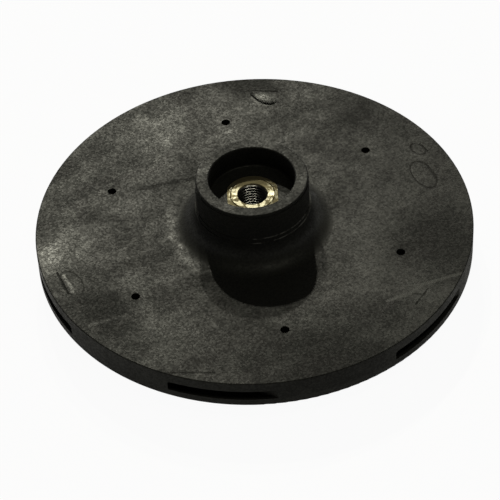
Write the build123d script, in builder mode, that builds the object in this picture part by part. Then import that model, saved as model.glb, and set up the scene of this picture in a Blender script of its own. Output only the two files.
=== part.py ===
from build123d import *
import math
import os

# Closed centrifugal pump impeller: two plastic mouldings and a brass insert for the shaft.
# Millimetres. +Z is the shaft's axis and points out of the hub. The origin is on the axis, in the
# plane of the suction eye's collar, on which the impeller stands. The back shroud carries the hub
# and the vanes; the front shroud, with the suction eye, is welded to the vanes' edges.

# ---------------------------------------------------------------- driving dimensions
# the disc
rim_diameter = 162.0
back_wall = 3.9
passage_height = 4.0
front_wall = 3.0
rim_edge_radius = 0.4

# the suction eye
eye_diameter = 44.0
collar_diameter = 56.0
collar_height = 7.6
eye_lip_radius = 2.0
collar_root_radius = 2.5
collar_edge_chamfer = 0.6

# the hub, with heights above the back face of the disc
hub_diameter = 41.6
hub_height = 22.4
hub_flare_radius = 8.0
hub_edge_chamfer = 0.35
top_land_width = 1.3
waist_land_top = 11.1
waist_land_bottom = 9.3
land_step = 0.3

# the shaft seal's seat in the hub
recess_diameter = 31.75
recess_depth = 9.0
recess_corner_radius = 0.6

# the brass insert
insert_diameter = 20.2
insert_across_flats = 18.5
insert_face_diameter = 16.3
insert_chamfer_angle = 10.0
insert_length = 16.0
insert_stand_out = 0.45
insert_groove_width = 3.0
insert_groove_depth = 1.2
insert_foot_chamfer = 0.6
nose_wall = 3.9

# the shaft's thread, 7/16-20 UNF: the bore is its minor diameter
thread_major_diameter = 11.11
thread_minor_diameter = 9.80
thread_depth = 11.5
thread_mouth_clearance = 0.1
drill_point_angle = 118.0

# the vanes and passages
vane_count = 6
wall_point_count = 9
vane_angle = 26.8
vane_inlet_diameter = 50.0
vane_inlet_thickness = 3.2
vane_nose_radius = 0.8
vane_root_radius = 0.8
outlet_width_angle = 28.0
first_outlet_azimuth = 19.9
cutting_overrun = 2.0

# the balance holes through the back shroud
balance_hole_diameter = 3.35
balance_circle_diameter = 113.0

# ---------------------------------------------------------------- derived places
rim_radius = rim_diameter / 2
front_face_z = collar_height
weld_z = front_face_z + front_wall
inner_face_z = weld_z + passage_height
back_face_z = inner_face_z + back_wall
hub_top_z = back_face_z + hub_height
recess_floor_z = hub_top_z - recess_depth

hub_radius = hub_diameter / 2
hub_foot_radius = hub_radius + 2 * land_step
flare_foot_radius = hub_foot_radius + hub_flare_radius
recess_radius = recess_diameter / 2

insert_top_z = recess_floor_z + insert_stand_out
insert_bottom_z = insert_top_z - insert_length
insert_radius = insert_diameter / 2
nose_tip_z = insert_bottom_z - nose_wall
nose_base_radius = insert_radius + nose_wall

vane_pitch = 360.0 / vane_count
vane_inlet_radius = vane_inlet_diameter / 2
passage_end_radius = rim_radius + cutting_overrun
vane_end_radius = passage_end_radius + cutting_overrun
balance_circle_radius = balance_circle_diameter / 2


# ---------------------------------------------------------------- vane geometry
def sweep_back(radius):
    """Angle, in degrees, by which a vane turns back from the rim in to a radius."""
    return math.degrees(math.log(rim_radius / radius) / math.tan(math.radians(vane_angle)))


def polar(radius, azimuth):
    """Point at a radius and an azimuth in degrees."""
    angle = math.radians(azimuth)
    return (radius * math.cos(angle), radius * math.sin(angle))


def vane_wall(rim_azimuth, lean):
    """Points of one wall of a vane, from its inlet to past the rim.

    The wall is a spiral of constant angle. lean is what it turns off that spiral by the inlet.
    """
    lean_share = 1 + lean / sweep_back(vane_inlet_radius)
    points = []
    for step in range(wall_point_count):
        share = step / (wall_point_count - 1)
        radius = vane_inlet_radius * (vane_end_radius / vane_inlet_radius) ** share
        points.append(polar(radius, rim_azimuth - sweep_back(radius) * lean_share))
    return points


def insert_blank():
    """The insert's outside: round bar with two flats, grooved, and turned to a shallow cone on top."""
    face_radius = insert_face_diameter / 2
    chamfer_drop = (insert_radius - face_radius) * math.tan(math.radians(insert_chamfer_angle))
    groove_radius = insert_across_flats / 2 - insert_groove_depth
    groove_middle_z = (insert_top_z + insert_bottom_z) / 2
    groove_top_z = groove_middle_z + insert_groove_width / 2
    groove_bottom_z = groove_middle_z - insert_groove_width / 2
    with BuildPart() as blank:
        with BuildSketch(Plane.XY.offset(insert_bottom_z)):
            Circle(insert_radius)
            Rectangle(insert_across_flats, insert_diameter, mode=Mode.INTERSECT)
        extrude(amount=insert_length)
        with BuildSketch(Plane.XZ):
            with BuildLine():
                Polyline(
                    (0, insert_bottom_z),
                    (insert_radius - insert_foot_chamfer, insert_bottom_z),
                    (insert_radius, insert_bottom_z + insert_foot_chamfer),
                    (insert_radius, groove_bottom_z),
                    (groove_radius, groove_bottom_z),
                    (groove_radius, groove_top_z),
                    (insert_radius, groove_top_z),
                    (insert_radius, insert_top_z - chamfer_drop),
                    (face_radius, insert_top_z),
                    (0, insert_top_z),
                    close=True,
                )
            make_face()
        revolve(axis=Axis.Z, mode=Mode.INTERSECT)
    return blank.part


# ---------------------------------------------------------------- threaded insert
with BuildPart() as threaded_insert:
    add(insert_blank())
    drill_radius = thread_minor_diameter / 2
    mouth_radius = thread_major_diameter / 2 + thread_mouth_clearance
    mouth_depth = mouth_radius - drill_radius
    thread_end_z = insert_top_z - thread_depth
    drill_point = drill_radius / math.tan(math.radians(drill_point_angle / 2))
    with BuildSketch(Plane.XZ):
        with BuildLine():
            Polyline(
                (0, insert_top_z),
                (mouth_radius, insert_top_z),
                (drill_radius, insert_top_z - mouth_depth),
                (drill_radius, thread_end_z),
                (0, thread_end_z - drill_point),
                close=True,
            )
        make_face()
    revolve(axis=Axis.Z, mode=Mode.SUBTRACT)

# ---------------------------------------------------------------- water space
# the chamber behind the suction eye and the passages: all that lies between the vanes
middle_of_vane = first_outlet_azimuth + vane_pitch / 2
vane_tip_angle = vane_pitch - outlet_width_angle
inlet_arc = vane_inlet_thickness / math.sin(math.radians(vane_angle))
inlet_angle = math.degrees(inlet_arc / vane_inlet_radius)
inlet_lean = (vane_tip_angle - inlet_angle) / 2
leading_points = vane_wall(middle_of_vane + vane_tip_angle / 2, inlet_lean)
trailing_points = vane_wall(middle_of_vane - vane_tip_angle / 2, -inlet_lean)
vane_end_azimuth = middle_of_vane - sweep_back(vane_end_radius)

with BuildSketch() as vane_outline:
    with BuildLine():
        Spline(*leading_points)
        Spline(*trailing_points)
        Line(leading_points[0], trailing_points[0])
        ThreePointArc(leading_points[-1], polar(vane_end_radius, vane_end_azimuth), trailing_points[-1])
    make_face()
    inlet_corners = vane_outline.vertices().sort_by(lambda corner: corner.center().length)[:2]
    fillet(inlet_corners, radius=vane_nose_radius)

with BuildPart() as water_space:
    with BuildSketch(Plane.XY.offset(weld_z)):
        Circle(passage_end_radius)
        with PolarLocations(0, vane_count):
            add(vane_outline.sketch, mode=Mode.SUBTRACT)
    extrude(amount=passage_height)
    vane_roots = water_space.edges().filter_by_position(Axis.Z, inner_face_z, inner_face_z)
    vane_roots = [edge for edge in vane_roots if edge.center().length < rim_radius]
    fillet(vane_roots, radius=vane_root_radius)

# ---------------------------------------------------------------- back shroud
with BuildPart() as back_shroud:
    # disc, flared hub and seal seat in one revolve
    with BuildSketch(Plane.XZ):
        with BuildLine():
            Polyline(
                (0, weld_z),
                (rim_radius, weld_z),
                (rim_radius, back_face_z),
                (flare_foot_radius, back_face_z),
            )
            TangentArc(
                (flare_foot_radius, back_face_z),
                (hub_foot_radius, back_face_z + hub_flare_radius),
                tangent=(-1, 0),
            )
            Polyline(
                (hub_foot_radius, back_face_z + hub_flare_radius),
                (hub_foot_radius, back_face_z + waist_land_bottom),
                (hub_foot_radius - land_step, back_face_z + waist_land_bottom),
                (hub_foot_radius - land_step, back_face_z + waist_land_top),
                (hub_radius, back_face_z + waist_land_top),
                (hub_radius, hub_top_z - top_land_width),
                (hub_radius - land_step, hub_top_z - top_land_width),
                (hub_radius - land_step, hub_top_z),
                (recess_radius, hub_top_z),
                (recess_radius, recess_floor_z),
                (0, recess_floor_z),
                (0, weld_z),
            )
        make_face()
    revolve(axis=Axis.Z)
    back_rings = back_shroud.edges().filter_by(GeomType.CIRCLE)
    hub_top_rings = back_rings.filter_by_position(Axis.Z, hub_top_z, hub_top_z)
    seat_corner = back_rings.filter_by_position(Axis.Z, recess_floor_z, recess_floor_z)
    back_face_rings = back_rings.filter_by_position(Axis.Z, back_face_z, back_face_z)
    back_rim = back_face_rings.sort_by(SortBy.RADIUS)[-1]
    chamfer(hub_top_rings, length=hub_edge_chamfer)
    fillet(seat_corner, radius=recess_corner_radius)
    fillet(back_rim, radius=rim_edge_radius)

    # what is left between the passages is the vanes
    add(water_space.part, mode=Mode.SUBTRACT)

    # rounded nose that turns the water from the suction eye, and closes the hub under the insert
    with BuildSketch(Plane.XZ):
        with BuildLine():
            TangentArc((0, nose_tip_z), (nose_base_radius, inner_face_z), tangent=(1, 0))
            Polyline((nose_base_radius, inner_face_z), (0, inner_face_z), (0, nose_tip_z))
        make_face()
    revolve(axis=Axis.Z)

    # balance holes, each on the middle line of a passage
    hole_azimuth = first_outlet_azimuth - sweep_back(balance_circle_radius)
    with BuildSketch(Plane.XY.offset(back_face_z)):
        with PolarLocations(balance_circle_radius, vane_count, start_angle=hole_azimuth):
            Circle(balance_hole_diameter / 2)
    extrude(amount=-back_wall, mode=Mode.SUBTRACT)

    # the plastic is moulded round the insert
    add(insert_blank(), mode=Mode.SUBTRACT)

# ---------------------------------------------------------------- front shroud
with BuildPart() as front_shroud:
    eye_radius = eye_diameter / 2
    collar_radius = collar_diameter / 2
    with BuildSketch(Plane.XZ):
        with BuildLine():
            Polyline(
                (eye_radius, 0),
                (collar_radius, 0),
                (collar_radius, front_face_z),
                (rim_radius, front_face_z),
                (rim_radius, weld_z),
                (eye_radius, weld_z),
                close=True,
            )
        make_face()
    revolve(axis=Axis.Z)
    front_rings = front_shroud.edges().filter_by(GeomType.CIRCLE)
    collar_end = front_rings.filter_by_position(Axis.Z, 0, 0)
    front_face_rings = front_rings.filter_by_position(Axis.Z, front_face_z, front_face_z)
    collar_root = front_face_rings.sort_by(SortBy.RADIUS)[0]
    front_rim = front_face_rings.sort_by(SortBy.RADIUS)[-1]
    eye_lip = front_rings.filter_by_position(Axis.Z, weld_z, weld_z).sort_by(SortBy.RADIUS)[0]
    fillet(collar_root, radius=collar_root_radius)
    fillet(front_rim, radius=rim_edge_radius)
    fillet(eye_lip, radius=eye_lip_radius)
    chamfer(collar_end, length=collar_edge_chamfer)

# ---------------------------------------------------------------- output
os.makedirs("parts", exist_ok=True)

back_shroud.part.label = "back_shroud"
export_step(back_shroud.part, "parts/back_shroud.step")

front_shroud.part.label = "front_shroud"
export_step(front_shroud.part, "parts/front_shroud.step")

threaded_insert.part.label = "threaded_insert"
export_step(threaded_insert.part, "parts/threaded_insert.step")
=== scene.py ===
import math

import bpy
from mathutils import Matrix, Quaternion, Vector


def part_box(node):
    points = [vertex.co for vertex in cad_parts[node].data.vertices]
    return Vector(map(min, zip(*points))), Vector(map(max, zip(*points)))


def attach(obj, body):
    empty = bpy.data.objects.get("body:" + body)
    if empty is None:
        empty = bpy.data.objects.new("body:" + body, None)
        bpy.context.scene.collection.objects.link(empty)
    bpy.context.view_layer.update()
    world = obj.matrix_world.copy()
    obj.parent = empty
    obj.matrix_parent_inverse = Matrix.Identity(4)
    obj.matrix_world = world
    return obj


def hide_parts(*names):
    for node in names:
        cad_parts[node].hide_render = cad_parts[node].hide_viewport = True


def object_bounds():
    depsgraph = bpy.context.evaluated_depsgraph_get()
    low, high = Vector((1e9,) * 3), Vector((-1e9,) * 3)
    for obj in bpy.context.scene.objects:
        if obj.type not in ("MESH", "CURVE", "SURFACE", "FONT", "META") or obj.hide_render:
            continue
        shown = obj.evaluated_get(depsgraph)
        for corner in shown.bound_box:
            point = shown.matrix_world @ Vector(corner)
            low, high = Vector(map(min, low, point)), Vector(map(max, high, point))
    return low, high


bl_info = {
    "name": "Pump impeller",
    "version": (1, 0, 0),
    "blender": (4, 5, 0),
    "location": "View3D > Sidebar > Impeller",
    "description": "Finishes a moulded pump impeller and its threaded brass insert, and lights them",
    "category": "Object",
}

MM = 0.001
FULL_TURN = 2 * math.pi

# ------------------------------------------------------------------ the frame
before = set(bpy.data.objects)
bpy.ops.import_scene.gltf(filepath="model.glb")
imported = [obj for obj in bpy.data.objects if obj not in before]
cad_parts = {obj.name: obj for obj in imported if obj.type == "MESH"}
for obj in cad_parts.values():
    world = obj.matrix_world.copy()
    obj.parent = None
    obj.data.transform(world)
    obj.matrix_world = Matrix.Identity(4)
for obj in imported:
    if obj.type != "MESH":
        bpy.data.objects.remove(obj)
cad_low, cad_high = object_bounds()
insert_low, insert_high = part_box("threaded_insert")

# height of the back face, the back shroud's flat side, and of the hub that stands on it
BACK_FACE = 18.5 * MM
HUB_HEIGHT = cad_high.z - BACK_FACE


# ------------------------------------------------------------------ settings
class PlasticSettings(bpy.types.PropertyGroup):
    """The black moulding compound and the marks that moulding left in it."""

    # deep colour of the plastic, which the painted shade on the hub's wall and the painted shadow near
    # the hub also use
    deep_and_shade_colour: bpy.props.FloatVectorProperty(
        name="Deep colour",
        description="Colour of the plastic where its skin is closed",
        default=(0.0055, 0.0055, 0.0044),
        subtype="COLOR",
        min=0.0,
        max=1.0,
    )
    # pale colour of the clouds, which the painted highlight along the flare's left foot also uses
    cloud_and_highlight_colour: bpy.props.FloatVectorProperty(
        name="Cloud colour",
        description="Colour of the pale clouds that the flowing compound left in the skin",
        default=(0.018, 0.018, 0.0145),
        subtype="COLOR",
        min=0.0,
        max=1.0,
    )
    # painted highlight: pale colour of the thin lines along the hub's stepped edges, where light
    # catches them on the +X side
    edge_highlight_colour: bpy.props.FloatVectorProperty(
        name="Worn colour",
        description="Colour of the plastic where the hub's edges are worn",
        default=(0.11, 0.11, 0.10),
        subtype="COLOR",
        min=0.0,
        max=1.0,
    )
    smooth_roughness: bpy.props.FloatProperty(
        name="Smooth roughness",
        description="Roughness of the glossier patches of skin",
        default=0.36,
        subtype="FACTOR",
        min=0.0,
        max=1.0,
    )
    dull_roughness: bpy.props.FloatProperty(
        name="Dull roughness",
        description="Roughness of the duller patches of skin",
        default=0.66,
        subtype="FACTOR",
        min=0.0,
        max=1.0,
    )
    speckle: bpy.props.FloatProperty(
        name="Speckle",
        description="How much the colour and the gloss differ from fleck to fleck",
        default=0.65,
        subtype="FACTOR",
        min=0.0,
        max=2.0,
    )
    cloud_size: bpy.props.FloatProperty(
        name="Cloud size",
        description="Typical width of a flow cloud",
        default=0.026,
        subtype="DISTANCE",
        unit="LENGTH",
        min=0.001,
    )
    fleck_size: bpy.props.FloatProperty(
        name="Fleck size",
        description="Width of the filler's flecks",
        default=0.0006,
        subtype="DISTANCE",
        unit="LENGTH",
        min=0.0001,
    )
    grain_size: bpy.props.FloatProperty(
        name="Grain size",
        description="Width of the fine grain of the filled plastic",
        default=0.0006,
        subtype="DISTANCE",
        unit="LENGTH",
        min=0.0001,
    )
    grain_height: bpy.props.FloatProperty(
        name="Grain height",
        description="Height of the fine grain",
        default=0.000018,
        subtype="DISTANCE",
        unit="LENGTH",
        min=0.0,
    )
    groove_width: bpy.props.FloatProperty(
        name="Groove width",
        description="Width of the grooves that the ejectors left in the back face",
        default=0.0009,
        subtype="DISTANCE",
        unit="LENGTH",
        min=0.0001,
    )
    groove_depth: bpy.props.FloatProperty(
        name="Groove depth",
        description="Depth of the grooves that the ejectors left in the back face",
        default=0.00012,
        subtype="DISTANCE",
        unit="LENGTH",
        min=0.0,
    )


class DropSettings(bpy.types.PropertyGroup):
    """The raised drop that the gate left on the back face."""

    length: bpy.props.FloatProperty(
        name="Drop length",
        description="Length of the drop",
        default=0.012,
        subtype="DISTANCE",
        unit="LENGTH",
        min=0.001,
    )
    width: bpy.props.FloatProperty(
        name="Drop width",
        description="Width of the drop at its round end",
        default=0.0052,
        subtype="DISTANCE",
        unit="LENGTH",
        min=0.001,
    )
    height: bpy.props.FloatProperty(
        name="Drop height",
        description="Height of the drop above the back face",
        default=0.0007,
        subtype="DISTANCE",
        unit="LENGTH",
        min=0.0,
    )


class InsertSettings(bpy.types.PropertyGroup):
    """The brass insert, with its 7/16-20 thread."""

    brass_colour: bpy.props.FloatVectorProperty(
        name="Brass colour",
        description="Colour of the clean brass",
        default=(0.39, 0.365, 0.26),
        subtype="COLOR",
        min=0.0,
        max=1.0,
    )
    # colour of tarnished brass, also used as painted shade on the rear of the face
    tarnish_and_shade_colour: bpy.props.FloatVectorProperty(
        name="Tarnish colour",
        description="Colour of the brass where it has dulled",
        default=(0.21, 0.18, 0.10),
        subtype="COLOR",
        min=0.0,
        max=1.0,
    )
    # painted shade: a darker grey in the bore that stands in for the shade deep in the hole
    bore_shade_colour: bpy.props.FloatVectorProperty(
        name="Bore colour",
        description="Colour of the oiled thread in the bore",
        default=(0.17, 0.165, 0.15),
        subtype="COLOR",
        min=0.0,
        max=1.0,
    )
    major_diameter: bpy.props.FloatProperty(
        name="Thread diameter",
        description="Major diameter of the thread",
        default=0.01111,
        subtype="DISTANCE",
        unit="LENGTH",
        min=0.001,
    )
    pitch: bpy.props.FloatProperty(
        name="Thread pitch",
        description="Distance from one turn of the thread to the next",
        default=0.00127,
        subtype="DISTANCE",
        unit="LENGTH",
        min=0.0001,
    )
    thread_depth: bpy.props.FloatProperty(
        name="Thread depth",
        description="Depth of the threaded bore, without its drill point",
        default=0.0115,
        subtype="DISTANCE",
        unit="LENGTH",
        min=0.001,
    )
    ring_diameter: bpy.props.FloatProperty(
        name="Ring diameter",
        description="Diameter of the fine turned groove on the insert's face",
        default=0.0163,
        subtype="DISTANCE",
        unit="LENGTH",
        min=0.001,
    )


class StageSettings(bpy.types.PropertyGroup):
    """The floor, the lamps and the camera."""

    floor_colour: bpy.props.FloatVectorProperty(
        name="Floor colour",
        description="Colour of the pale floor",
        default=(0.9, 0.9, 0.9),
        subtype="COLOR",
        min=0.0,
        max=1.0,
    )
    main_power: bpy.props.FloatProperty(
        name="Main power",
        description="Power of each of the two lamps behind the impeller",
        default=8.6,
        subtype="POWER",
        unit="POWER",
        min=0.0,
    )
    front_power: bpy.props.FloatProperty(
        name="Front power",
        description="Power of each of the three small lamps high at the front",
        default=1.0,
        subtype="POWER",
        unit="POWER",
        min=0.0,
    )
    lamp_colour: bpy.props.FloatVectorProperty(
        name="Lamp colour",
        description="Colour of the lamps' light",
        default=(1.0, 0.98, 0.86),
        subtype="COLOR",
        min=0.0,
        max=1.0,
    )
    lens: bpy.props.FloatProperty(
        name="Lens",
        description="Focal length of the camera, on a 36 mm sensor",
        default=164.64,
        subtype="DISTANCE_CAMERA",
        min=1.0,
    )


# ------------------------------------------------------------------ shader tools
class Signal:
    """One output of a shader node. It adds Math nodes when it is used in an expression."""

    def __init__(self, tree, node, output=0):
        self.tree = tree
        self.node = node
        self.output = output

    def out(self, output):
        """Another output of the same node."""
        return Signal(self.tree, self.node, output)

    def socket(self):
        return self.node.outputs[self.output]

    def __add__(self, other):
        return self.tree.math("ADD", self, other)

    def __radd__(self, other):
        return self.tree.math("ADD", other, self)

    def __sub__(self, other):
        return self.tree.math("SUBTRACT", self, other)

    def __rsub__(self, other):
        return self.tree.math("SUBTRACT", other, self)

    def __mul__(self, other):
        return self.tree.math("MULTIPLY", self, other)

    def __rmul__(self, other):
        return self.tree.math("MULTIPLY", other, self)

    def __truediv__(self, other):
        return self.tree.math("DIVIDE", self, other)

    def __rtruediv__(self, other):
        return self.tree.math("DIVIDE", other, self)

    def __abs__(self):
        return self.tree.math("ABSOLUTE", self)

    def clamped(self):
        """The signal kept between 0 and 1."""
        return self.tree.math("ADD", self, 0.0, clamp=True)


class ShaderTree:
    """The nodes of one material or of the sky."""

    def __init__(self, owner):
        owner.use_nodes = True
        self.nodes = owner.node_tree.nodes
        self.links = owner.node_tree.links
        self.nodes.clear()

    def node(self, kind, settings=None, sockets=None):
        """Adds a node: its settings are set first, then the values or signals of its sockets."""
        made = self.nodes.new(kind)
        for name, value in (settings or {}).items():
            setattr(made, name, value)
        for name, value in (sockets or {}).items():
            if isinstance(value, Signal):
                self.links.new(value.socket(), made.inputs[name])
            else:
                made.inputs[name].default_value = value
        return Signal(self, made)

    def math(self, operation, *values, clamp=False):
        """One Math operation on signals and numbers."""
        settings = {"operation": operation, "use_clamp": clamp}
        return self.node("ShaderNodeMath", settings, dict(enumerate(values)))

    def vector(self, operation, *values):
        """One Vector Math operation on places and vectors."""
        return self.node("ShaderNodeVectorMath", {"operation": operation}, dict(enumerate(values)))

    def split(self, place):
        """A place's X, Y and Z, as the outputs of those names."""
        return self.node("ShaderNodeSeparateXYZ", None, {0: place})

    def noise(self, place, width, detail=2.0, roughness=0.5, distortion=0.0):
        """Soft random field from 0 to 1 whose patches are about one width across."""
        sockets = {
            "Vector": place,
            "Scale": 1.0 / width,
            "Detail": detail,
            "Roughness": roughness,
            "Distortion": distortion,
        }
        return self.node("ShaderNodeTexNoise", {"noise_dimensions": "3D"}, sockets).out("Fac")

    def flecks(self, place, width):
        """Random field from 0 to 1 that keeps one value over each small fleck."""
        cells = self.node("ShaderNodeTexVoronoi", None, {"Vector": place, "Scale": 1.0 / width})
        return self.node("ShaderNodeSeparateColor", None, {0: cells.out("Color")}).out("Red")

    def step(self, signal, start, end):
        """0 up to start, 1 from end on and smooth between them. start may be the larger one."""
        settings = {"interpolation_type": "SMOOTHSTEP", "clamp": True}
        sockets = {"Value": signal, "From Min": start, "From Max": end}
        return self.node("ShaderNodeMapRange", settings, sockets).out("Result")

    def colour_mix(self, factor, first, second):
        """From the first colour at 0 to the second at 1."""
        # a Mix node has its colours at inputs 6 and 7 and at output 2
        sockets = {0: factor, 6: first, 7: second}
        return self.node("ShaderNodeMix", {"data_type": "RGBA"}, sockets).out(2)

    def framed(self, place, centre=(0, 0, 0), turn=0.0, size=(1, 1, 1)):
        """Coordinates in a frame with its own centre, turn about Z in degrees, and size."""
        rotation = (0, 0, math.radians(turn))
        sockets = {"Vector": place, "Location": centre, "Rotation": rotation, "Scale": size}
        return self.node("ShaderNodeMapping", {"vector_type": "TEXTURE"}, sockets)

    def length(self, place):
        """Distance from the middle of the coordinates."""
        return self.vector("LENGTH", place).out("Value")

    def radius(self, place):
        """Distance from the axis."""
        return self.length(self.vector("MULTIPLY", place, (1, 1, 0)))

    def distance(self, place, point):
        """Distance from a point."""
        return self.vector("DISTANCE", place, point).out("Value")

    def line_gap(self, place, start, end):
        """Distance from the straight line between two points."""
        along = Vector(end) - Vector(start)
        offset = self.vector("SUBTRACT", place, start)
        share = self.vector("DOT_PRODUCT", offset, along / along.length_squared).out("Value").clamped()
        nearest = self.node("ShaderNodeVectorMath", {"operation": "SCALE"}, {0: along, "Scale": share})
        return self.distance(offset, nearest)

    def bump(self, rise, height):
        """The normal of a skin that stands out by rise where height is 1."""
        return self.node("ShaderNodeBump", None, {"Strength": 1.0, "Distance": rise, "Height": height})

    def finish(self, sockets):
        """Ends a material with one Principled shader."""
        shader = self.node("ShaderNodeBsdfPrincipled", None, sockets)
        self.node("ShaderNodeOutputMaterial", None, {"Surface": shader})


def opaque(colour):
    """The colour with an alpha of 1, as a colour socket takes it."""
    return (*colour, 1.0)


# ------------------------------------------------------------------ plastic
# Places on the back face are X and Y in millimetres, from the axis.
# pale and dark clouds: X, Y, radius in millimetres and strength, which is below 0 where dark. The small
# dark one at (-18, -28) is painted shadow at a corner of the hub's cast shadow.
CLOUDS_AND_PAINTED_SHADOW = (
    (-39, 52, 26, 0.30),
    (-10, 56, 14, 0.20),
    (-24, 40, 14, -0.20),
    (-72, 32, 16, -0.18),
    (-30, 72, 14, -0.12),
    (1, 79, 17, -0.50),
    (6, 69, 7, 0.45),
    (-77, -12, 20, 0.42),
    (-52, -4, 14, -0.10),
    (-18, -28, 3.2, -0.9),
    (-27, -11, 2.4, 0.50),
    (-25, -13, 1.8, 0.50),
    (42, 56, 20, -0.30),
    (56, 13, 13, -0.15),
    (70, -18, 28, -0.65),
    (30, 28, 14, 0.12),
    (42, -52, 20, -0.25),
    (-54, -43, 17, -0.60),
    (16, -72, 30, -0.55),
    (32, -68, 20, -0.30),
    (-30, -52, 18, 0.20),
)
# pale and dark streaks: start, end, half width in millimetres and strength. The first three make a
# painted highlight along the flare's left foot.
STREAKS_AND_PAINTED_HIGHLIGHT = (
    ((-31, 9), (-30.5, -5), 3.6, 0.34),
    ((-30.5, -5), (-26, -17.5), 3.2, 0.20),
    ((-26, -17.5), (-18, -28.5), 2.8, 0.22),
    ((46, -44.5), (55, -41), 1.0, 1.2),
    ((55, -41), (59, -37.2), 1.0, 1.3),
    ((59, -37.2), (74, -32.5), 1.0, 1.1),
    ((-42, 21), (-12, 27), 1.8, -0.4),
    ((-70, -23), (-66.4, -31.5), 1.1, 0.6),
    ((-60, -48.5), (-47, -44.5), 1.4, 0.5),
    ((26, -44), (58, -26), 9.0, 0.15),
)
# outlines of the ejector marks: X, Y, turn in degrees, length, width and strength
EJECTOR_OVALS = (
    (64.0, 34.6, 128.0, 7.0, 4.6, 0.75),
    (64.8, 20.2, 111.0, 15.5, 8.0, 0.75),
    (-67.0, -27.4, 116.0, 13.5, 7.2, 0.40),
)
# lines beside the ejector marks: start, end and strength
EJECTOR_LINES = (
    ((2.5, 73.5), (12.0, 72.5), 0.9),
    ((65.0, 37.4), (67.4, 33.2), 1.0),
    ((65.8, 26.8), (69.6, 17.4), 0.5),
    ((-72.4, -21.6), (-68.0, -32.6), 1.0),
    ((-69.4, -29.0), (-68.0, -32.4), 1.0),
    ((61.0, -39.6), (56.0, -46.8), 0.7),
    ((55.4, -41.6), (58.6, -42.2), 0.7),
    ((-32.0, -73.6), (-16.5, -74.5), 0.6),
)
# heights of the hub's two stepped edges above the back face, in millimetres
HUB_EDGES = (9.3, 11.1)


def on_back_face(x, y):
    """The point on the back face at X and Y in millimetres."""
    return (x * MM, y * MM, BACK_FACE)


def above_back_face(tree, place):
    """Height above the back face."""
    return tree.split(place).out("Z") - BACK_FACE


def back_face_marks_and_painted_light(tree, place, clouds):
    """The clouds with the back shroud's own pale and dark places added, among them a painted shadow
    near the hub and a painted highlight along the flare's left foot.
    """
    for x, y, radius, strength in CLOUDS_AND_PAINTED_SHADOW:
        gap = tree.distance(place, on_back_face(x, y))
        clouds = clouds + tree.step(gap, radius * MM, 0.0) * strength
    for start, end, half_width, strength in STREAKS_AND_PAINTED_HIGHLIGHT:
        gap = tree.line_gap(place, on_back_face(*start), on_back_face(*end))
        clouds = clouds + tree.step(gap, half_width * MM, 0.0) * strength
    return clouds


def ejector_grooves(tree, place, width):
    """Up to 1 in the thin grooves that the ejectors left in the back face, and 0 elsewhere."""
    oval_reach = 2 * MM
    faintest = 0.4
    marks = []
    for start, end, strength in EJECTOR_LINES:
        gap = tree.line_gap(place, on_back_face(*start), on_back_face(*end))
        marks.append(tree.step(gap, width / 2, width / 5) * strength)
    for x, y, turn, length, breadth, strength in EJECTOR_OVALS:
        size = (length * MM / 2, breadth * MM / 2, oval_reach)
        inside = tree.framed(place, on_back_face(x, y), turn, size)
        gap = abs(tree.length(inside) - 1.0)
        marks.append(tree.step(gap, width / (breadth * MM), 0.0) * strength)
    grooves = marks[0]
    for mark in marks[1:]:
        grooves = tree.math("MAXIMUM", grooves, mark)
    kept = tree.step(tree.noise(place, 4 * MM, detail=2.0, roughness=0.6), 0.30, 0.62)
    return grooves * (kept * (1 - faintest) + faintest)


def hub_edge_painted_highlight(tree, place):
    """Up to 1 in broken thin lines along the hub's stepped edges on its +X side, and 0 elsewhere: a
    painted highlight that stands in for light catching those edges on the lit side.
    """
    # painted highlight is kept to the +X side, where the light falls on the edges
    side = tree.step(tree.split(place).out("X"), -6 * MM, 4 * MM)
    height = above_back_face(tree, place)
    broken = tree.step(tree.noise(place, 5 * MM, detail=4.0, roughness=0.7), 0.42, 0.60)
    highlight_lines = 0.0
    for edge in HUB_EDGES:
        highlight_lines = highlight_lines + tree.step(abs(height - edge * MM), 0.22 * MM, 0.08 * MM)
    return highlight_lines.clamped() * broken * side


def hub_wall_shade(tree, place):
    """1 on the hub's upright outer wall, and 0 elsewhere. Taking the clouds off there paints the wall
    in shade, deep in colour and dull.
    """
    height = above_back_face(tree, place)
    above_foot = tree.step(height, 3 * MM, 6 * MM)
    below_top = tree.step(height, HUB_HEIGHT - 0.05 * MM, HUB_HEIGHT - 0.2 * MM)
    outside_recess = tree.step(tree.radius(place), 16.5 * MM, 17.5 * MM)
    return above_foot * below_top * outside_recess


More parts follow.
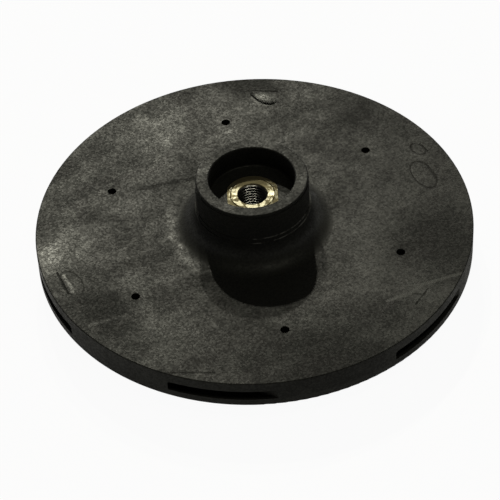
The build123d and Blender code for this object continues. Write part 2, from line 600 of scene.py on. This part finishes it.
def plastic_material(name, settings, back_face):
    """Black filled plastic with cloudy flow marks. back_face adds the back shroud's own marks, with
    painted light: painted highlight along the flare's left foot and on the hub's stepped edges, a
    painted shadow near the hub and painted shade on the hub's upright wall.
    """
    # how pale the plain skin is, and how strongly each pattern clouds it
    plain = 0.19
    swirl_strength = 0.28
    streak_strength = 0.24
    mottle_strength = 0.30
    groove_dulling = 0.3
    material = bpy.data.materials.new(name)
    tree = ShaderTree(material)
    place = tree.node("ShaderNodeTexCoord").out("Object")

    swirl = tree.noise(place, settings.cloud_size, detail=4.0, roughness=0.55, distortion=1.2)
    combed = tree.framed(place, turn=28.0, size=(2.2, 1.0, 1.0))
    streaks = tree.noise(combed, settings.cloud_size * 0.3, detail=5.0, roughness=0.6, distortion=0.6)
    mottle = tree.noise(place, settings.cloud_size * 0.12, detail=2.0, roughness=0.5)
    clouds = tree.step(swirl, 0.36, 0.66) * swirl_strength
    clouds = clouds + tree.step(streaks, 0.34, 0.70) * streak_strength
    clouds = clouds + (mottle - 0.5) * mottle_strength + plain
    if back_face:
        # painted shade: the hub's upright wall loses its clouds and stays at the deep colour
        clouds = back_face_marks_and_painted_light(tree, place, clouds) * (1.0 - hub_wall_shade(tree, place))
    speckle = tree.flecks(place, settings.fleck_size)
    clouds = clouds.clamped() + (speckle - 0.5) * settings.speckle

    colour = tree.colour_mix(clouds, opaque(settings.deep_and_shade_colour), opaque(settings.cloud_and_highlight_colour))
    roughness = settings.dull_roughness - clouds * (settings.dull_roughness - settings.smooth_roughness)
    height = tree.noise(place, settings.grain_size * 0.6, detail=3.0, roughness=0.7)
    if back_face:
        # painted highlight: pale broken lines along the hub's stepped edges on the lit +X side
        colour = tree.colour_mix(hub_edge_painted_highlight(tree, place), colour, opaque(settings.edge_highlight_colour))
        grooves = ejector_grooves(tree, place, settings.groove_width)
        roughness = roughness + grooves * groove_dulling
        height = height - grooves * (settings.groove_depth / settings.grain_height)
    tree.finish(
        {
            "Base Color": colour,
            "Roughness": roughness,
            "Specular IOR Level": 0.2,
            "Specular Tint": (1.0, 1.0, 0.92, 1.0),
            "Normal": tree.bump(settings.grain_height, height),
        }
    )
    return material


# ------------------------------------------------------------------ brass
def brass_material(settings):
    """Turned brass with turning rings on its face, patches of tarnish, painted shade over the rear of
    the face, and an oiled bore whose darker colour is painted shade.
    """
    # roughness of the clean face and of the bore, and what tarnish with the painted shade, polish and
    # scuffs change in it
    face_roughness = 0.53
    bore_roughness = 0.25
    tarnish_and_shade_rise = 0.16
    polish_drop = 0.10
    scuff_strength = 0.30
    skin_height = 0.015 * MM
    material = bpy.data.materials.new("turned_brass")
    tree = ShaderTree(material)
    place = tree.node("ShaderNodeTexCoord").out("Object")
    radius = tree.radius(place)
    bore = settings.major_diameter / 2
    # 1 in the bore, where the colour darkens as painted shade
    in_bore = tree.step(radius, bore, bore - 0.3 * MM)

    # -1 on the face's -Y side, 0 at its two flats and 1 on its +Y side
    rearward = tree.split(place).out("Y") / radius
    polish = tree.step(abs(rearward + 0.05), 0.30, 0.05)
    # painted shade: the rear of the face, in the shadow of the recess's rim, takes the tarnish colour
    # and roughness
    rear_shade = tree.step(rearward, 0.45, 0.80)
    stains = tree.noise(place, 2.4 * MM, detail=3.0, roughness=0.6, distortion=1.0)
    tarnish_and_shade = tree.math("MAXIMUM", tree.step(stains, 0.46, 0.54), rear_shade)
    face_colour = tree.colour_mix(tarnish_and_shade, opaque(settings.brass_colour), opaque(settings.tarnish_and_shade_colour))
    face = face_roughness + tarnish_and_shade * tarnish_and_shade_rise - polish * polish_drop
    scuffs = tree.noise(place, 0.8 * MM, detail=3.0, roughness=0.7)

    turning = tree.node("ShaderNodeCombineXYZ", None, {"X": radius})
    rings = tree.noise(turning, 0.3 * MM, detail=2.0, roughness=0.6)
    pits = tree.noise(place, 0.6 * MM, detail=3.0, roughness=0.6)
    tree.finish(
        {
            "Base Color": tree.colour_mix(in_bore, face_colour, opaque(settings.bore_shade_colour)),
            "Roughness": face + in_bore * (bore_roughness - face) + (scuffs - 0.5) * scuff_strength,
            "Metallic": 1.0,
            "Normal": tree.bump(skin_height, rings * 0.5 + pits),
        }
    )
    return material


# ------------------------------------------------------------------ modelling tools
# sides of a turned piece, and of the thread and the drop
TURNED_STEPS = 128
ROUND_STEPS = 64
# points closer than this are one point
SEAM_GAP = 0.001 * MM


def deselect_all():
    if bpy.context.object is not None and bpy.context.object.mode != "OBJECT":
        bpy.ops.object.mode_set(mode="OBJECT")
    bpy.ops.object.select_all(action="DESELECT")


def select_only(piece):
    deselect_all()
    piece.select_set(True)
    bpy.context.view_layer.objects.active = piece


def draw_line(name, points):
    """A new piece in edit mode whose mesh is one open line, drawn point by point."""
    deselect_all()
    bpy.ops.mesh.primitive_plane_add(size=MM)
    piece = bpy.context.object
    piece.name = name
    piece.data.name = name
    bpy.ops.object.mode_set(mode="EDIT")
    bpy.ops.mesh.merge(type="CENTER")
    corners = [Vector(point) for point in points]
    bpy.ops.transform.translate(value=corners[0])
    for start, end in zip(corners, corners[1:]):
        bpy.ops.mesh.extrude_vertices_move(TRANSFORM_OT_translate={"value": end - start})
    bpy.ops.mesh.select_all(action="SELECT")
    return piece


def join_seams(piece):
    """Merges points that lie on each other and turns all faces outwards."""
    select_only(piece)
    bpy.ops.object.mode_set(mode="EDIT")
    bpy.ops.mesh.select_all(action="SELECT")
    bpy.ops.mesh.remove_doubles(threshold=SEAM_GAP)
    bpy.ops.mesh.normals_make_consistent(inside=False)
    bpy.ops.object.mode_set(mode="OBJECT")


def turned_piece(name, outline):
    """A closed turned solid. The outline is (radius, height) pairs that start and end on the axis."""
    piece = draw_line(name, [(radius, 0, height) for radius, height in outline])
    bpy.ops.mesh.spin(steps=TURNED_STEPS, angle=FULL_TURN, center=(0, 0, 0), axis=(0, 0, 1))
    join_seams(piece)
    return piece


def cut_flat(piece, point, normal):
    """Cuts a solid along a plane, takes away what lies on the normal's side and closes the cut."""
    select_only(piece)
    bpy.ops.object.mode_set(mode="EDIT")
    bpy.ops.mesh.select_all(action="SELECT")
    bpy.ops.mesh.bisect(
        plane_co=point,
        plane_no=normal,
        use_fill=True,
        clear_outer=True,
        threshold=SEAM_GAP / 10,
    )
    bpy.ops.object.mode_set(mode="OBJECT")


def apply_modifiers(piece):
    select_only(piece)
    for modifier in list(piece.modifiers):
        bpy.ops.object.modifier_apply(modifier=modifier.name)


def settle(piece):
    """Puts the piece's place, turn and scale into its mesh."""
    select_only(piece)
    bpy.ops.object.transform_apply(location=True, rotation=True, scale=True)


def shade(piece, sharpest):
    """Smooths the piece's shading, except over edges sharper than an angle in degrees."""
    select_only(piece)
    bpy.ops.object.shade_smooth_by_angle(angle=math.radians(sharpest))


def finish_piece(piece, material):
    """Gives a new piece its material and slot, and puts it on the only body."""
    piece.data.materials.clear()
    piece.data.materials.append(material)
    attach(piece, "root")


# ------------------------------------------------------------------ pieces
def thread_cutter(settings, low, high):
    """A rod with the thread on it from low to high, and its minor radius."""
    # degrees between the thread's flanks and its axis
    flank_angle = 60
    # spare turns that are cut off below low and above high. The odd part sets where the thread starts.
    turns_below = 2.13
    turns_above = 2
    pitch = settings.pitch
    major = settings.major_diameter / 2
    minor = major - pitch * 5 / 16 * math.tan(math.radians(flank_angle))
    start = low - turns_below * pitch
    # in sixteenths of the pitch, the root's flat is 4 long, each flank 5 and the crest's flat 2
    outline = (
        (minor, 0, start),
        (minor, 0, start + pitch / 4),
        (major, 0, start + pitch * 9 / 16),
        (major, 0, start + pitch * 11 / 16),
        (minor, 0, start + pitch),
    )
    cutter = draw_line("thread_cutter", outline)
    bpy.ops.object.mode_set(mode="OBJECT")
    screw = cutter.modifiers.new("thread", "SCREW")
    screw.axis = "Z"
    screw.angle = FULL_TURN
    screw.screw_offset = pitch
    screw.iterations = math.ceil((high - start) / pitch) + turns_above
    screw.steps = ROUND_STEPS
    screw.render_steps = ROUND_STEPS
    apply_modifiers(cutter)
    join_seams(cutter)
    cut_flat(cutter, (0, 0, low), (0, 0, -1))
    cut_flat(cutter, (0, 0, high), (0, 0, 1))
    join_seams(cutter)
    return cutter, minor


def make_insert(settings):
    """Brass insert: turned face, two flats, retaining groove and a real helical thread."""
    drill_clearance = 0.02 * MM
    drill_point_angle = 118
    mouth_clearance = 0.10 * MM
    mouth_drop = 0.03 * MM
    mouth_bevel = 0.05 * MM
    ring_half_width = 0.20 * MM
    ring_depth = 0.35 * MM
    ring_lip_drop = 0.02 * MM
    land_drop = 0.32 * MM
    edge_bevel = 0.10 * MM
    groove_half_width = 1.5 * MM
    groove_depth = 2.2 * MM
    foot_bevel = 0.6 * MM
    sharpest = 25

    top = insert_high.z
    bottom = insert_low.z
    outer = insert_high.y
    ring = settings.ring_diameter / 2
    bore_end = top - settings.thread_depth
    cutter, minor = thread_cutter(settings, bore_end + settings.pitch, top + settings.pitch)
    drilled = minor + drill_clearance
    drill_point = drilled / math.tan(math.radians(drill_point_angle / 2))
    mouth = settings.major_diameter / 2 + mouth_clearance
    middle = (top + bottom) / 2
    groove_floor = outer - groove_depth
    outline = (
        (0, bore_end - drill_point),
        (drilled, bore_end),
        (drilled, top - (mouth - drilled)),
        (mouth, top - mouth_drop),
        (mouth + mouth_bevel, top),
        (ring - ring_half_width, top),
        (ring, top - ring_depth),
        (ring + ring_half_width, top - ring_lip_drop),
        (outer - edge_bevel, top - land_drop),
        (outer, top - land_drop - edge_bevel),
        (outer, middle + groove_half_width),
        (groove_floor, middle + groove_half_width),
        (groove_floor, middle - groove_half_width),
        (outer, middle - groove_half_width),
        (outer, bottom + foot_bevel),
        (outer - foot_bevel, bottom),
        (0, bottom),
    )
    piece = turned_piece("brass_insert", outline)
    for side in (1, -1):
        cut_flat(piece, (side * insert_high.x, 0, 0), (side, 0, 0))
    tapped = piece.modifiers.new("tapped", "BOOLEAN")
    tapped.operation = "DIFFERENCE"
    tapped.solver = "EXACT"
    tapped.object = cutter
    apply_modifiers(piece)
    bpy.data.objects.remove(cutter)
    join_seams(piece)
    shade(piece, sharpest)
    return piece


# middle of the gate's drop on the back face in millimetres, and its turn in degrees
DROP_PLACE = (5.9, 69.4)
DROP_TURN = -36.0
# layers of the drop: share of its height, and how far they draw in as a share of half its width
DROP_LAYERS = ((0.45, 0.10), (0.35, 0.16), (0.20, 0.26))


def make_drop(settings):
    """A low raised drop with a crowned top, narrow at its far end."""
    half_length = settings.length / 2
    half_width = settings.width / 2
    # share by which the width grows from the middle to the round end, and shrinks to the narrow one
    spread = 0.35
    sharpest = 60
    deselect_all()
    bpy.ops.mesh.primitive_circle_add(vertices=ROUND_STEPS, radius=1.0, fill_type="NGON")
    piece = bpy.context.object
    piece.name = "gate_drop"
    piece.data.name = "gate_drop"
    bpy.ops.object.mode_set(mode="EDIT")
    bpy.ops.mesh.select_all(action="SELECT")
    bpy.ops.transform.resize(value=(half_length, half_width, 1))
    for rise, inset in DROP_LAYERS:
        lift = {"value": (0, 0, settings.height * rise)}
        bpy.ops.mesh.extrude_region_move(TRANSFORM_OT_translate=lift)
        bpy.ops.mesh.inset(thickness=half_width * inset, depth=0.0)
    bpy.ops.object.mode_set(mode="OBJECT")
    taper = piece.modifiers.new("taper", "SIMPLE_DEFORM")
    taper.deform_method = "TAPER"
    taper.deform_axis = "X"
    taper.lock_z = True
    taper.factor = 2 * spread
    apply_modifiers(piece)
    piece.rotation_euler.z = math.radians(DROP_TURN)
    piece.location = on_back_face(*DROP_PLACE)
    settle(piece)
    shade(piece, sharpest)
    return piece


# ------------------------------------------------------------------ operators
class IMPELLER_OT_mouldings(bpy.types.Operator):
    """Gives both shrouds their black filled plastic"""

    bl_idname = "impeller.mouldings"
    bl_label = "Finish the mouldings"

    def execute(self, context):
        settings = context.scene.impeller_plastic
        for name, back_face in (("back_shroud", True), ("front_shroud", False)):
            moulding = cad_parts[name]
            moulding.data.materials.clear()
            moulding.data.materials.append(plastic_material(name + "_plastic", settings, back_face))
        return {"FINISHED"}


class IMPELLER_OT_drop(bpy.types.Operator):
    """Adds the drop that the gate left on the back face"""

    bl_idname = "impeller.drop"
    bl_label = "Add the gate's drop"

    def execute(self, context):
        piece = make_drop(context.scene.impeller_drop)
        finish_piece(piece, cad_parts["back_shroud"].data.materials[0])
        return {"FINISHED"}


class IMPELLER_OT_insert(bpy.types.Operator):
    """Makes the threaded brass insert in the hub"""

    bl_idname = "impeller.insert"
    bl_label = "Make the brass insert"

    def execute(self, context):
        settings = context.scene.impeller_insert
        piece = make_insert(settings)
        finish_piece(piece, brass_material(settings))
        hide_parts("threaded_insert")
        return {"FINISHED"}


# ------------------------------------------------------------------ stage
# lamps round the impeller: azimuth and elevation in degrees, distance and size in metres
MAIN_LAMPS = (
    ("lamp_behind_left", 101.5, 43.0, 1.8, 0.04),
    ("lamp_behind", 91.5, 38.0, 1.8, 0.04),
)
FRONT_LAMPS = (
    ("lamp_front", -52.0, 69.0, 1.5, 0.08),
    ("lamp_front_left", -106.0, 73.0, 1.5, 0.03),
    ("lamp_front_right", -12.0, 66.0, 1.5, 0.03),
)
# the camera's place and aim in millimetres, its roll in degrees, and its nearest and furthest sight
CAMERA_PLACE = (0.0, -608.577, 606.812)
CAMERA_AIM = (-2.0057, -15.026, 18.5)
CAMERA_ROLL = -3.1855
CAMERA_REACH = (0.05, 50.0)

FLOOR_WIDTH = 12.0
WHITE = (1.0, 1.0, 1.0, 1.0)


def add_lamp(name, azimuth, elevation, distance, size, power, colour):
    """A small round lamp that looks at the middle of the back face."""
    aim = Vector((0, 0, BACK_FACE))
    turn = math.radians(azimuth)
    rise = math.radians(elevation)
    way = Vector((math.cos(turn) * math.cos(rise), math.sin(turn) * math.cos(rise), math.sin(rise)))
    deselect_all()
    bpy.ops.object.light_add(type="AREA", location=aim + way * distance)
    lamp = bpy.context.object
    lamp.name = name
    lamp.rotation_euler = way.to_track_quat("Z", "Y").to_euler()
    lamp.data.shape = "DISK"
    lamp.data.size = size
    lamp.data.energy = power
    lamp.data.color = colour


def floor_material(settings):
    """Pale floor that the camera sees as nearly white with a faint shadow, and gloss sees dimmer."""
    whiteness = 0.95
    seen_in_gloss = 0.25
    material = bpy.data.materials.new("pale_floor")
    tree = ShaderTree(material)
    path = tree.node("ShaderNodeLightPath")
    direct = path.out("Is Camera Ray") + path.out("Is Transmission Ray")
    seen = (direct + path.out("Is Glossy Ray") * seen_in_gloss) * whiteness
    plain = tree.node("ShaderNodeBsdfDiffuse", None, {"Color": opaque(settings.floor_colour)})
    white = tree.node("ShaderNodeEmission", None, {"Color": WHITE, "Strength": 1.0})
    floor = tree.node("ShaderNodeMixShader", None, {0: seen, 1: plain, 2: white})
    tree.node("ShaderNodeOutputMaterial", None, {"Surface": floor})
    return material


def paint_sky():
    """Dim studio ceiling, with a white backdrop round the horizon that camera, gloss and glass see."""
    ceiling_strength = 0.02
    # height in the sky, 0 at the horizon, at which the backdrop begins to show and is full
    backdrop_top = 0.35
    backdrop_full = 0.15
    world = bpy.data.worlds.new("studio")
    bpy.context.scene.world = world
    tree = ShaderTree(world)
    path = tree.node("ShaderNodeLightPath")
    seen = path.out("Is Camera Ray") + path.out("Is Glossy Ray") + path.out("Is Transmission Ray")
    height = tree.split(tree.node("ShaderNodeTexCoord").out("Generated")).out("Z")
    backdrop = tree.step(height, backdrop_top, backdrop_full) * seen
    dim = tree.node("ShaderNodeBackground", None, {"Color": WHITE, "Strength": ceiling_strength})
    white = tree.node("ShaderNodeBackground", None, {"Color": WHITE, "Strength": 1.0})
    sky = tree.node("ShaderNodeMixShader", None, {0: backdrop, 1: dim, 2: white})
    tree.node("ShaderNodeOutputWorld", None, {"Surface": sky})


def add_camera(lens):
    """The camera, which looks down at the back face and the hub."""
    aim = Vector(CAMERA_AIM) * MM
    place = Vector(CAMERA_PLACE) * MM
    bpy.ops.object.camera_add(location=place)
    camera = bpy.context.object
    camera.name = "camera"
    look = (aim - place).to_track_quat("-Z", "Y")
    camera.rotation_mode = "QUATERNION"
    camera.rotation_quaternion = look @ Quaternion((0, 0, 1), math.radians(CAMERA_ROLL))
    camera.data.lens = lens
    camera.data.clip_start, camera.data.clip_end = CAMERA_REACH
    bpy.context.scene.camera = camera


class IMPELLER_OT_stage(bpy.types.Operator):
    """Adds the pale floor, the lamps, the sky and the camera"""

    bl_idname = "impeller.stage"
    bl_label = "Set the stage"

    def execute(self, context):
        settings = context.scene.impeller_stage
        deselect_all()
        bpy.ops.mesh.primitive_plane_add(size=FLOOR_WIDTH, location=(0, 0, 0))
        floor = context.object
        floor.name = "floor"
        floor.data.materials.append(floor_material(settings))

        for lamps, power in ((MAIN_LAMPS, settings.main_power), (FRONT_LAMPS, settings.front_power)):
            for lamp in lamps:
                add_lamp(*lamp, power, settings.lamp_colour)
        paint_sky()
        add_camera(settings.lens)
        context.scene.view_settings.view_transform = "Standard"
        return {"FINISHED"}


# ------------------------------------------------------------------ panel
# label, name of the settings on the scene, settings and operator
STEPS = (
    ("Plastic", "impeller_plastic", PlasticSettings, "impeller.mouldings"),
    ("Gate's drop", "impeller_drop", DropSettings, "impeller.drop"),
    ("Brass insert", "impeller_insert", InsertSettings, "impeller.insert"),
    ("Stage", "impeller_stage", StageSettings, "impeller.stage"),
)


class IMPELLER_PT_panel(bpy.types.Panel):
    """Sizes, finishes and steps of the impeller"""

    bl_idname = "IMPELLER_PT_panel"
    bl_label = "Pump impeller"
    bl_space_type = "VIEW_3D"
    bl_region_type = "UI"
    bl_category = "Impeller"

    def draw(self, context):
        for label, name, _, operator in STEPS:
            box = self.layout.box()
            box.label(text=label)
            settings = getattr(context.scene, name)
            for key in settings.bl_rna.properties.keys():
                if key not in ("rna_type", "name"):
                    box.prop(settings, key)
            box.operator(operator)


CLASSES = (
    PlasticSettings,
    DropSettings,
    InsertSettings,
    StageSettings,
    IMPELLER_OT_mouldings,
    IMPELLER_OT_drop,
    IMPELLER_OT_insert,
    IMPELLER_OT_stage,
    IMPELLER_PT_panel,
)


def register():
    for kind in CLASSES:
        bpy.utils.register_class(kind)
    for _, name, settings, _ in STEPS:
        setattr(bpy.types.Scene, name, bpy.props.PointerProperty(type=settings))


def unregister():
    for _, name, _, _ in STEPS:
        delattr(bpy.types.Scene, name)
    for kind in reversed(CLASSES):
        bpy.utils.unregister_class(kind)


def main():
    register()
    bpy.ops.impeller.mouldings()
    bpy.ops.impeller.drop()
    bpy.ops.impeller.insert()
    bpy.ops.impeller.stage()


if __name__ == "__main__":
    main()
